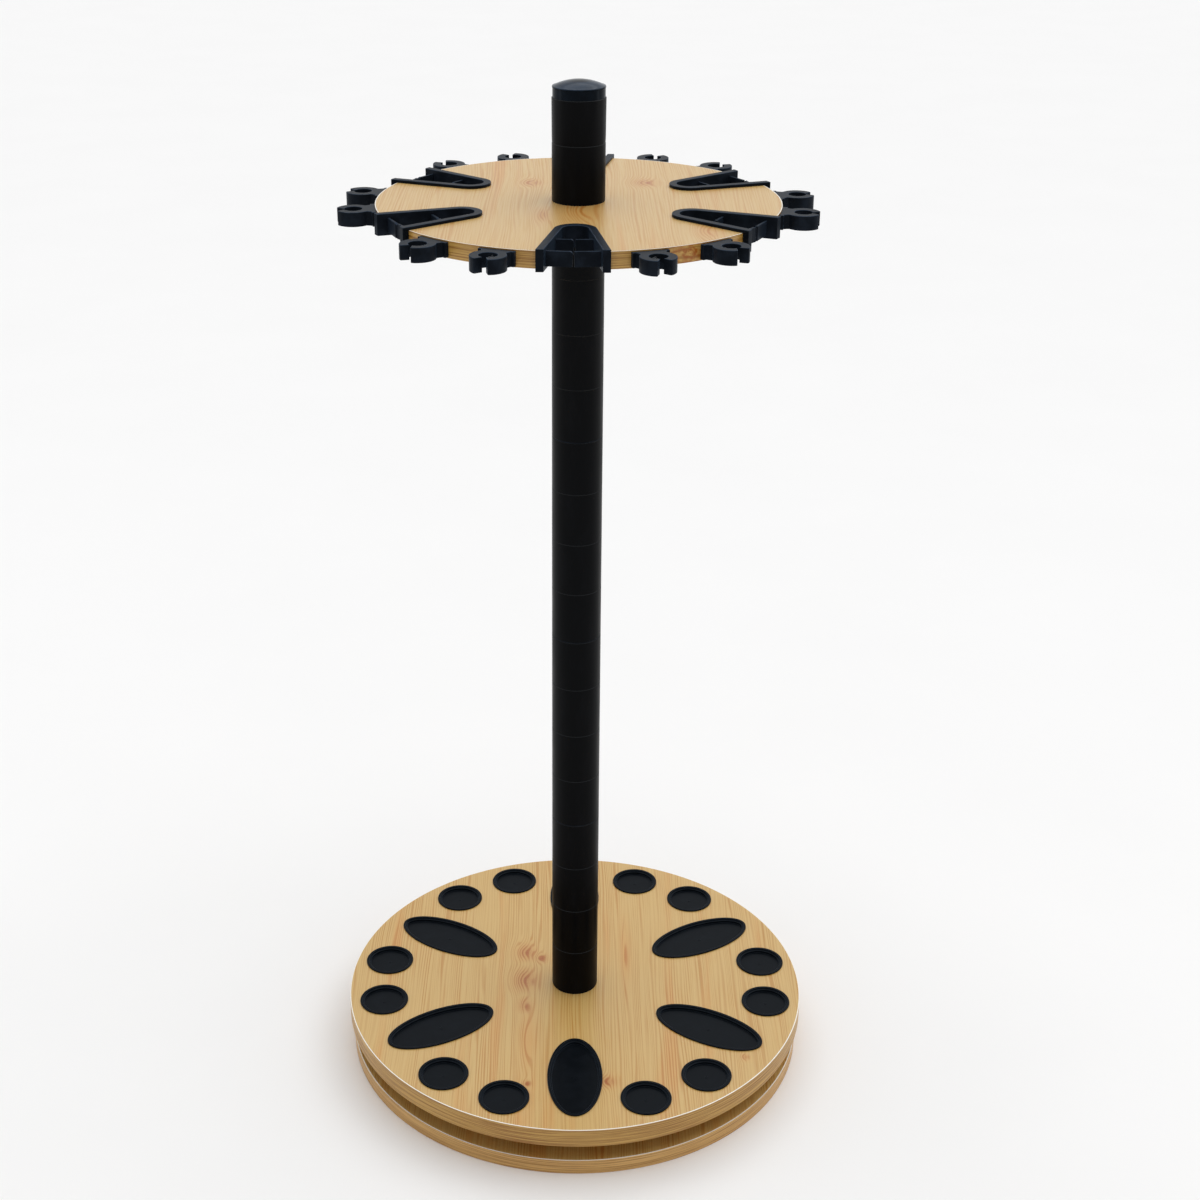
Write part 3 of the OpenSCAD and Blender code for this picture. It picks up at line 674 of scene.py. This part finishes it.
base_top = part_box("base_disc")[1].z
turns = [math.radians(360 * place / PLACES + FRONT_TURN) for place in range(PLACES)]
oval_turns = turns[::PLACES_PER_OVAL]
round_turns = [turn for place, turn in enumerate(turns) if place % PLACES_PER_OVAL]
cup_finish = moulded_plastic("cup plastic", CUP_BLACK, CUP_WORN, CUP_EDGE_HIGHLIGHT, roughness=0.3,
                             gloss=0.045, sheen=0.03)
set_round(butt_cup("oval_cup_pattern", OVAL_LENGTH, OVAL_WIDTH), "oval_butt_cup", "oval_cup",
          cup_finish, oval_turns, OVAL_CENTRE, base_top)
set_round(butt_cup("round_cup_pattern", ROUND_CUP_WIDTH, ROUND_CUP_WIDTH), "round_butt_cup",
          "round_cup", cup_finish, round_turns, ROUND_CUP_CENTRE, base_top)


# Column: four extruded black tubes of four rings each, clamped by a steel tie rod and its two nuts.
# Moulded plugs and couplers hold the tubes' ends, and their collars look like the rings' grooves.
TUBES = 4
TUBE_SIDES = 96
TUBE_BORE = 17.5 * MM
TUBE_SHARPNESS = 12
RINGS_PER_TUBE = 4
GROOVE_DEPTH = 0.25 * MM
GROOVE_HEIGHT = 0.8 * MM
GROOVE_LIP = 0.35 * MM
TUBE_BLACK = (7, 8, 10)
TUBE_DUST = (12, 13, 16)
# Painted highlight colour for the tubes' groove lips and rounded rims.
TUBE_EDGE_HIGHLIGHT = (38, 40, 42)
TUBE_GLOSS = 0.05
DIE_LINES = (1.5, 1.5, 0.01)
DIE_LINE_DEPTH = 0.02 * MM
DIE_LINE_RELIEF = 0.3
DUST = (0.1, 0.1, 0.03)
DUST_SHARE = (0.45, 0.8)
DUSTY_ROUGHNESS = (0.25, 0.75, 0.28, 0.42)
MOULD_BLACK = (17, 20, 25)
MOULD_WORN = (27, 32, 40)
# Painted highlight colour for the roundings of the holders, clips, plugs and couplers.
MOULD_EDGE_HIGHLIGHT = (50, 61, 76)


def extruded_plastic(name):
    """Extruded tube plastic: faint upright die lines, a soft gloss, a little dust and a highlight
    painted on the groove lips and other roundings.
    """
    material, tree = new_material(name, Specular_IOR_Level=TUBE_GLOSS)
    place = place_in_mm(tree)
    die_lines = solid_noise(tree, place, DIE_LINES, detail=2.0)
    dust = solid_noise(tree, place, DUST, detail=5.0)
    colour = mix_paint(tree, ramp(tree, dust, *DUST_SHARE), paint(*TUBE_BLACK), paint(*TUBE_DUST))
    # Painted highlight on the roundings, such as the groove lips.
    connect(tree, "Base Color", mix_paint(tree, painted_highlight_share(tree), colour, paint(*TUBE_EDGE_HIGHLIGHT)))
    connect(tree, "Roughness", ramp(tree, dust, *DUSTY_ROUGHNESS))
    emboss(tree, die_lines, DIE_LINE_DEPTH, DIE_LINE_RELIEF)
    return material


def tube_start(radius, z):
    """A tube's outline at its lower end, from its bore outward."""
    return [(TUBE_BORE, z), (radius - GROOVE_LIP / 3, z), (radius, z + GROOVE_LIP / 3)]


def tube_end(radius, z):
    """A tube's outline at its upper end, in to its bore."""
    return [(radius, z - GROOVE_LIP), (radius - GROOVE_LIP, z), (TUBE_BORE, z)]


def ring_groove(radius, z):
    """A groove's outline: a bevelled lower lip that catches the light, and a sharp upper one."""
    floor = radius - GROOVE_DEPTH
    return [(radius, z - GROOVE_LIP), (floor, z + GROOVE_LIP / 3),
            (floor, z + GROOVE_HEIGHT - GROOVE_LIP / 3), (radius, z + GROOVE_HEIGHT)]


for node in ("tie_rod", "tie_rod_nuts"):
    give_finish(node, zinc_finish)
moulded_finish = moulded_plastic("holder plastic", MOULD_BLACK, MOULD_WORN, MOULD_EDGE_HIGHLIGHT,
                                 roughness=0.36, gloss=0.035, sheen=0.035)
for node in ("end_plugs", "tube_couplers"):
    give_finish(node, moulded_finish)
tube_finish = extruded_plastic("extruded tube plastic")
for number in range(1, TUBES + 1):
    low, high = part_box(f"tube_{number}")
    pitch = (high.z - low.z + GROOVE_HEIGHT) / RINGS_PER_TUBE
    outline = tube_start(high.x, low.z)
    for ring in range(1, RINGS_PER_TUBE):
        outline += ring_groove(high.x, low.z + ring * pitch - GROOVE_HEIGHT)
    outline += tube_end(high.x, high.z)
    tube = turned(f"column_tube_{number}", outline, TUBE_SIDES, closed=True)
    finish_piece(tube, tube_finish, "tube_plastic", "rack", f"tube_{number}", angle=TUBE_SHARPNESS)


# Top plate: a thinner chipboard disc with the same pine print, clamped between the column and the
# handle tube and turned a little against the base. Its edge band is cut through at the holders.
PLATE_TURN = math.radians(-1.5)
PLATE_FIGURES = [
    (-36, 58, 9, 13, 0.7),
    (52, 58, 11, 14, 0.7),
    (91, -95, 9, 22, 0.0),
    (-26, -48, 6, 22, 0.35),
    (2, -30, 17, 48, 0.0),
]
PLATE_LIGHT = (203, 170, 110)
PLATE_LINE = (190, 142, 76)
PLATE_BAND_KNOTS = [(-59.0, 745.5, 9)]
PLATE_BAND_SOFTNESS = 0.25 * MM
PLATE_BAND_STEPS = 2
HOLDER_LENGTH = 73 * MM
HOLDER_ROUND_WIDTH = 30.8 * MM
HOLDER_MOUTH_WIDTH = 51.4 * MM
HOLDER_RIM_WIDTH = 5.5 * MM
HOLDER_WALL = 2.5 * MM
HOLDER_SIDES = 72
POST_REACH = 3 * MM
FIT = 0.1 * MM

plate_low, plate_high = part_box("top_plate")
plate_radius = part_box("plate_edge_band")[1].x
mouth_x = plate_radius + POST_REACH
rim_radius = HOLDER_ROUND_WIDTH / 2
inner_radius = rim_radius - HOLDER_RIM_WIDTH
wall_radius = inner_radius + HOLDER_WALL
round_x = mouth_x - HOLDER_LENGTH + rim_radius
side_run = mouth_x - round_x
side_lean = (math.acos(rim_radius / math.hypot(HOLDER_MOUTH_WIDTH / 2, side_run))
             - math.atan2(side_run, HOLDER_MOUTH_WIDTH / 2))


def half_width(x, radius):
    """Half the width, at x, of a holder outline whose round end has that radius."""
    return (radius + (x - round_x) * math.sin(side_lean)) / math.cos(side_lean)


def notch_block(name, radius, reach, low, high):
    """A block with a round end, and two sides that touch it and lean apart out to reach."""
    block = cylinder(name, HOLDER_SIDES, radius, low, high, x=round_x)
    touch_x = round_x - radius * math.sin(side_lean)
    bpy.ops.object.mode_set(mode="EDIT")
    bpy.ops.mesh.select_all(action="SELECT")
    bpy.ops.mesh.bisect(plane_co=(touch_x, 0, 0), plane_no=(1, 0, 0), use_fill=True,
                        clear_outer=True)
    pick(block, "FACE", lambda face: face.normal.x > SQUARE_ON and len(face.verts) >= 4)
    extrude(reach - touch_x, 0, 0)
    widen = half_width(reach, radius) / (radius * math.cos(side_lean))
    bpy.ops.transform.resize(value=(1, widen, 1), center_override=(reach, 0, 0))
    face_outward()
    bpy.ops.object.mode_set(mode="OBJECT")
    return block


def combine(piece, operation, *others):
    """Joins the others to the piece or cuts them out of it, and uses them up."""
    for other in others:
        apply_modifier(piece, "BOOLEAN", operation=operation, object=other, solver="EXACT")
        bpy.data.objects.remove(other)


give_finish("top_plate", pine_print("top plate pine print", PLATE_FIGURES, offset=19.0,
                                    light=PLATE_LIGHT, line=PLATE_LINE))
corners = [(plate_high.x, plate_low.z), (plate_radius, plate_low.z),
           (plate_radius, plate_high.z), (plate_high.x, plate_high.z)]
plate_band = turned("top_plate_edge_band", corners, BAND_SIDES, closed=True)
soften(plate_band, PLATE_BAND_SOFTNESS, segments=PLATE_BAND_STEPS)
for turn in oval_turns:
    block = notch_block("block", wall_radius + FIT, mouth_x, plate_low.z - MM, plate_high.z + MM)
    cut = copy_to(block, "cut", turn + PLATE_TURN)
    bpy.data.objects.remove(block)
    combine(plate_band, "DIFFERENCE", cut)
plate_band_print = band_print("top plate edge print", plate_radius / MM, offset=23.0,
                              knots=PLATE_BAND_KNOTS)
finish_piece(plate_band, plate_band_print, "wood_edge", "rack", "plate_edge_band")


# Handle tube: a short length of the column's tube on top of the plate, by which the rack is turned
# and lifted. It has one groove, and flares a little above it.
HANDLE_GROOVE = 43.2 * MM
HANDLE_NECK = 4 * MM
HANDLE_FLARE = 0.2 * MM

low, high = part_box("handle_tube")
groove_z = low.z + HANDLE_GROOVE - GROOVE_HEIGHT
outline = tube_start(high.x, low.z)
outline += ring_groove(high.x, groove_z)[:3]
outline.append((high.x - GROOVE_DEPTH / 2, groove_z + GROOVE_HEIGHT))
outline.append((high.x, groove_z + HANDLE_NECK))
outline += tube_end(high.x + HANDLE_FLARE, high.z)
handle_tube = turned("handle_tube_flared", outline, TUBE_SIDES, closed=True)
finish_piece(handle_tube, tube_finish, "tube_plastic", "rack", "handle_tube", angle=TUBE_SHARPNESS)


# Domed cap: a moulded black cap with a glossy top. Its plug is pressed into the handle tube, and its
# skirt sits on the tube's end.
CAP_SKIRT_HEIGHT = 7.9 * MM
CAP_LIP_HEIGHT = 1.2 * MM
CAP_LIP = 0.25 * MM
CAP_RISE = 4.6 * MM
CAP_PLUG_WALL = 2.4 * MM
CAP_PLUG_PLAY = 0.1 * MM
CAP_DOME_RINGS = 12
CAP_BLACK = (8, 12, 17)
CAP_WORN = (14, 22, 31)
# Painted highlight colour for the cap's roundings.
CAP_EDGE_HIGHLIGHT = (46, 58, 74)

cap_low, cap_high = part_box("top_cap")
seat_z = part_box("handle_tube")[1].z
skirt_radius = cap_high.x
lip_radius = skirt_radius + CAP_LIP
plug_radius = TUBE_BORE - CAP_PLUG_PLAY
plug_inside = plug_radius - CAP_PLUG_WALL
dome_z = seat_z + CAP_SKIRT_HEIGHT
lip_z = dome_z - CAP_LIP_HEIGHT
ball_radius = (skirt_radius ** 2 + CAP_RISE ** 2) / (2 * CAP_RISE)
outline = [(plug_inside, dome_z), (plug_inside, cap_low.z), (plug_radius, cap_low.z),
           (plug_radius, seat_z), (skirt_radius, seat_z), (skirt_radius, lip_z),
           (lip_radius, lip_z + CAP_LIP), (lip_radius, dome_z - CAP_LIP),
           (skirt_radius, dome_z + CAP_LIP)]
for ring in range(1, CAP_DOME_RINGS):
    ring_radius = skirt_radius * (1 - ring / CAP_DOME_RINGS)
    rise = math.sqrt(ball_radius ** 2 - ring_radius ** 2) - ball_radius + CAP_RISE
    outline.append((ring_radius, dome_z + rise))
cap = turned("domed_cap", outline, TUBE_SIDES)
cap_finish = moulded_plastic("cap plastic", CAP_BLACK, CAP_WORN, CAP_EDGE_HIGHLIGHT, roughness=0.13,
                             gloss=0.055, relief=0.05, sheen=0.03)
finish_piece(cap, cap_finish, "black_plastic", "rack", "top_cap")


# Notched holders: moulded frames let into the plate's rim, open to the outside between two posts,
# with catches that snap under the plate. Two pairs of springy fingers cross each notch.
HOLDER_RIM_HEIGHT = 2.4 * MM
HOLDER_DROP = 1.1 * MM
HOLDER_SOFTNESS = 0.4 * MM
CATCH_WIDTH = 1 * MM
CATCH_LENGTH = 8 * MM
FINGER_THICKNESS = 1.6 * MM
FINGER_TIP = 2.2 * MM
FINGER_HEIGHT = 11 * MM
FINGER_SINK = 3 * MM
FINGER_GAP = 1.2 * MM
FINGER_SLANT = math.radians(5)
FINGER_INSETS = (7 * MM, 39.5 * MM)
FINGER_CURL = 2 * MM
FINGER_SOFTNESS = 0.3 * MM
BEAD_SIDES = 16
CURL_SIDES = 64

holder_low = plate_low.z - HOLDER_DROP
holder_top = plate_high.z + HOLDER_RIM_HEIGHT


def box(name, x_range, y_range, z_range):
    """A block that fills the three ranges."""
    ranges = (x_range, y_range, z_range)
    bpy.ops.object.select_all(action="DESELECT")
    bpy.ops.mesh.primitive_cube_add(size=1, location=[(low + high) / 2 for low, high in ranges])
    bpy.context.object.scale = [high - low for low, high in ranges]
    return settle(name)


def finger(name, inset, side):
    """One finger from the wall to the middle: a blade with a bead along its tip. On side -1 it is
    mirrored, and its tip curls down."""
    tip_x = mouth_x - inset
    reach = half_width(tip_x, inner_radius) - FINGER_GAP / 2
    length = reach / math.cos(FINGER_SLANT) + HOLDER_WALL / 2
    top = holder_top - FINGER_SINK
    low = top - FINGER_HEIGHT
    half = FINGER_THICKNESS / 2
    blade = box(name, (-half, half), (FINGER_TIP / 2, length), (low, top))
    combine(blade, "UNION", cylinder("bead", BEAD_SIDES, FINGER_TIP / 2, low, top, y=FINGER_TIP / 2))
    if side < 0:
        corner = box("corner", (-FINGER_TIP, FINGER_TIP), (-FINGER_TIP, FINGER_CURL),
                     (top - FINGER_CURL, top + MM))
        curl = cylinder("curl", CURL_SIDES, FINGER_CURL, -FINGER_TIP, FINGER_TIP)
        curl.rotation_euler = (0, math.radians(90), 0)
        curl.location = (0, FINGER_CURL, top - FINGER_CURL)
        fix_place()
        combine(corner, "DIFFERENCE", curl)
        combine(blade, "DIFFERENCE", corner)
    soften(blade, FINGER_SOFTNESS)
    blade.rotation_euler = (0, 0, FINGER_SLANT)
    blade.location = (tip_x, FINGER_GAP / 2, 0)
    fix_place()
    if side < 0:
        blade.scale = (1, -1, 1)
        fix_place()
        bpy.ops.object.mode_set(mode="EDIT")
        face_outward()
        bpy.ops.object.mode_set(mode="OBJECT")
    return blade


def catch(name, x):
    """The two catches near x that snap under the plate."""
    top = holder_low + HOLDER_DROP - FIT
    bar = notch_block(name, wall_radius + CATCH_WIDTH, mouth_x, holder_low, top)
    stay = box("catch_stay", (x - CATCH_LENGTH / 2, x + CATCH_LENGTH / 2),
               (-HOLDER_MOUTH_WIDTH, HOLDER_MOUTH_WIDTH), (holder_low - MM, top + MM))
    combine(bar, "INTERSECT", stay)
    return bar


def notched_holder(name):
    """A holder at its height, its notch open along +X."""
    holder = notch_block(name, rim_radius, mouth_x, plate_high.z, holder_top)
    walls = notch_block("walls", wall_radius, mouth_x - MM, holder_low, plate_high.z + FIT)
    posts = notch_block("posts", rim_radius, mouth_x, holder_low, plate_high.z + FIT)
    plate = cylinder("plate", BAND_SIDES, plate_radius + FIT, holder_low - MM, holder_top)
    combine(posts, "DIFFERENCE", plate)
    inner_catch = catch("inner_catch", round_x)
    outer_catch = catch("outer_catch", plate_radius - CATCH_LENGTH)
    combine(holder, "UNION", walls, posts, inner_catch, outer_catch)
    notch = notch_block("notch", inner_radius, mouth_x + MM, holder_low - MM, holder_top + MM)
    combine(holder, "DIFFERENCE", notch)
    soften(holder, HOLDER_SOFTNESS)
    fingers = [finger("finger", inset, side) for inset in FINGER_INSETS for side in (1, -1)]
    take(holder)
    for blade in fingers:
        blade.select_set(True)
    bpy.ops.object.join()
    return holder


set_round(notched_holder("holder_pattern"), "notched_holder", "holder", moulded_finish,
          [turn + PLATE_TURN for turn in oval_turns])


# Ring clips: moulded black clips, each screwed to the plate's edge through the back of its ring. The
# ring opens outward in two springy jaws with a flared mouth.
CLIP_REACH = 16.1 * MM
CLIP_RING_RADIUS = 12.95 * MM
CLIP_RING_SIDES = 72
CLIP_BORE_RADIUS = 6.75 * MM
CLIP_BORE_SIDES = 36
CLIP_HEIGHT = 10.8 * MM
CLIP_FLANGE_WIDTH = 27 * MM
CLIP_FLANGE = 3 * MM
CLIP_NECK_WIDTH = 16 * MM
CLIP_SLIT = 2.6 * MM
CLIP_MOUTH_ANGLE = math.radians(35)
CLIP_TIP_CUT = 1.3 * MM
CLIP_SOFTNESS = 0.4 * MM
SCREW_HEAD_RADIUS = 3.2 * MM
SCREW_HEAD_SINK = 1 * MM
SCREW_HEAD_SIDES = 48
SEAM_GAP = 0.05 * MM
FLAT_ANGLE = math.radians(0.5)


def push_out(piece, to_x, to_width):
    """Extrudes the face that looks along +X out to to_x and gives it that width."""
    bpy.ops.object.mode_set(mode="EDIT")
    pick(piece, "FACE", lambda face: face.normal.x > SQUARE_ON)
    mesh = bmesh.from_edit_mesh(piece.data)
    corners = [vertex.co for face in mesh.faces if face.select for vertex in face.verts]
    from_x = corners[0].x
    from_width = 2 * max(abs(corner.y) for corner in corners)
    extrude(to_x - from_x, 0, 0)
    bpy.ops.transform.resize(value=(1, to_width / from_width, 1), center_override=(to_x, 0, 0))
    bpy.ops.object.mode_set(mode="OBJECT")


def across(width):
    """A range of that width about the middle."""
    return (-width / 2, width / 2)


def merge_flats(piece):
    """Joins the flat parts that booleans leave side by side, so that the softening runs clean."""
    take(piece)
    bpy.ops.object.mode_set(mode="EDIT")
    bpy.ops.mesh.select_all(action="SELECT")
    bpy.ops.mesh.remove_doubles(threshold=SEAM_GAP)
    bpy.ops.mesh.dissolve_limited(angle_limit=FLAT_ANGLE)
    bpy.ops.object.mode_set(mode="OBJECT")


def ring_clip(name):
    """A clip at its height, its mouth open along +X."""
    middle = (plate_low.z + plate_high.z) / 2
    low, high = middle - CLIP_HEIGHT / 2, middle + CLIP_HEIGHT / 2
    ring_x = plate_radius + CLIP_REACH
    flange_x = plate_radius + CLIP_FLANGE
    back = (plate_radius - MM, flange_x)
    clip = box(name, back, across(CLIP_FLANGE_WIDTH), (low, high))
    neck = box("neck", back, across(CLIP_NECK_WIDTH + 2 * CLIP_FLANGE), (low, high))
    push_out(neck, flange_x + CLIP_FLANGE, CLIP_NECK_WIDTH + CLIP_FLANGE)
    push_out(neck, ring_x, CLIP_NECK_WIDTH)
    ring = cylinder("ring", CLIP_RING_SIDES, CLIP_RING_RADIUS, low, high, x=ring_x)
    combine(clip, "UNION", neck, ring)

    tall = (low - MM, high + MM)
    jaw_x = ring_x + math.sqrt(CLIP_BORE_RADIUS ** 2 - (CLIP_SLIT / 2) ** 2)
    mouth_run = CLIP_RING_RADIUS - CLIP_BORE_RADIUS + MM
    mouth = box("mouth", (ring_x, jaw_x), across(CLIP_SLIT), tall)
    push_out(mouth, jaw_x + mouth_run, CLIP_SLIT + 2 * mouth_run * math.tan(CLIP_MOUTH_ANGLE))
    tip_x = ring_x + CLIP_RING_RADIUS - CLIP_TIP_CUT
    tips = box("tips", (tip_x, tip_x + CLIP_RING_RADIUS), across(2 * CLIP_RING_RADIUS), tall)
    bore = cylinder("bore", CLIP_BORE_SIDES, CLIP_BORE_RADIUS, *tall, x=ring_x)
    plate = cylinder("plate", BAND_SIDES, plate_radius + FIT, *tall)
    recess_x = ring_x - CLIP_BORE_RADIUS - SCREW_HEAD_SINK
    bpy.ops.mesh.primitive_cylinder_add(vertices=SCREW_HEAD_SIDES, radius=SCREW_HEAD_RADIUS,
                                        depth=CLIP_BORE_RADIUS,
                                        location=(recess_x + CLIP_BORE_RADIUS / 2, 0, middle),
                                        rotation=(0, math.radians(90), 0))
    recess = settle("recess")
    combine(clip, "DIFFERENCE", bore, plate, mouth, tips)
    merge_flats(clip)
    soften(clip, CLIP_SOFTNESS)
    combine(clip, "DIFFERENCE", recess)
    return clip


give_finish("clip_screws", zinc_finish)
set_round(ring_clip("clip_pattern"), "ring_clip", "clip", moulded_finish,
          [turn + PLATE_TURN for turn in round_turns])


# Studio: a wide pale floor that keeps the rack's shadow and fills the view, pale air round it, a wide
# soft sky light from above and behind, and a tall panel at each side that draws the tube's sheen.
FLOOR_SIZE = 40.0
FLOOR_MOTTLE = (0.004, 0.004, 0.0)
MOTTLE_DROP = 3
FLOOR_GLOSS = 0.1
FLOOR_ROUGHNESS = 0.9
PALE = (249, 249, 249)
AIR_LIGHT = 0.45
SKY_LIGHT = 1.9
SKY_SPREAD = 80
SKY_TILT = (-14, 10, 0)
PANEL_DISTANCE = 2.6
PANEL_SIZE = (0.6, 1.8)
PANEL_POWER = 3.5
CAMERA_PLACE = (-0.00604, -1.42868, 1.08332)
CAMERA_TILT = 65.871
CAMERA_TURN = 0.444
CAMERA_LENS = 57.88
CAMERA_SENSOR = 36
CAMERA_SHIFT = (0.03703, -0.0198)

bpy.ops.object.select_all(action="DESELECT")
bpy.ops.mesh.primitive_plane_add(size=FLOOR_SIZE)
floor = settle("floor")
floor_finish, tree = new_material("pale floor", Specular_IOR_Level=FLOOR_GLOSS,
                                  Roughness=FLOOR_ROUGHNESS)
x, y, _ = place_in_mm(tree)
mottle = flat_noise(tree, x, y, FLOOR_MOTTLE)
darker = [level - MOTTLE_DROP for level in PALE]
connect(tree, "Base Color", mix_paint(tree, mottle, paint(*PALE), paint(*darker)))
floor.data.materials.append(floor_finish)

air = bpy.data.worlds.new("pale air")
air.use_nodes = True
backdrop = air.node_tree.nodes["Background"]
backdrop.inputs["Color"].default_value = paint(*PALE)
path = air.node_tree.nodes.new("ShaderNodeLightPath")
seen = larger(air.node_tree, path.outputs["Is Camera Ray"], path.outputs["Is Glossy Ray"])
seen = larger(air.node_tree, seen, path.outputs["Is Transmission Ray"])
strength = ramp(air.node_tree, seen, 0.0, 1.0, AIR_LIGHT, 1.0)
air.node_tree.links.new(strength, backdrop.inputs["Strength"])
bpy.context.scene.world = air

bpy.ops.object.light_add(type="SUN", rotation=[math.radians(tilt) for tilt in SKY_TILT])
bpy.context.object.data.energy = SKY_LIGHT
bpy.context.object.data.angle = math.radians(SKY_SPREAD)
for side in (-1, 1):
    bpy.ops.object.light_add(type="AREA", location=(side * PANEL_DISTANCE, 0, PANEL_SIZE[1] / 2),
                             rotation=(0, side * math.radians(90), 0))
    panel = bpy.context.object.data
    panel.shape = "RECTANGLE"
    panel.size_y, panel.size = PANEL_SIZE
    panel.energy = PANEL_POWER

bpy.ops.object.camera_add(location=CAMERA_PLACE,
                          rotation=(math.radians(CAMERA_TILT), 0, math.radians(CAMERA_TURN)))
camera = bpy.context.object
camera.data.lens = CAMERA_LENS
camera.data.sensor_width = CAMERA_SENSOR
camera.data.shift_x, camera.data.shift_y = CAMERA_SHIFT
bpy.context.scene.camera = camera
bpy.context.scene.view_settings.view_transform = "Standard"
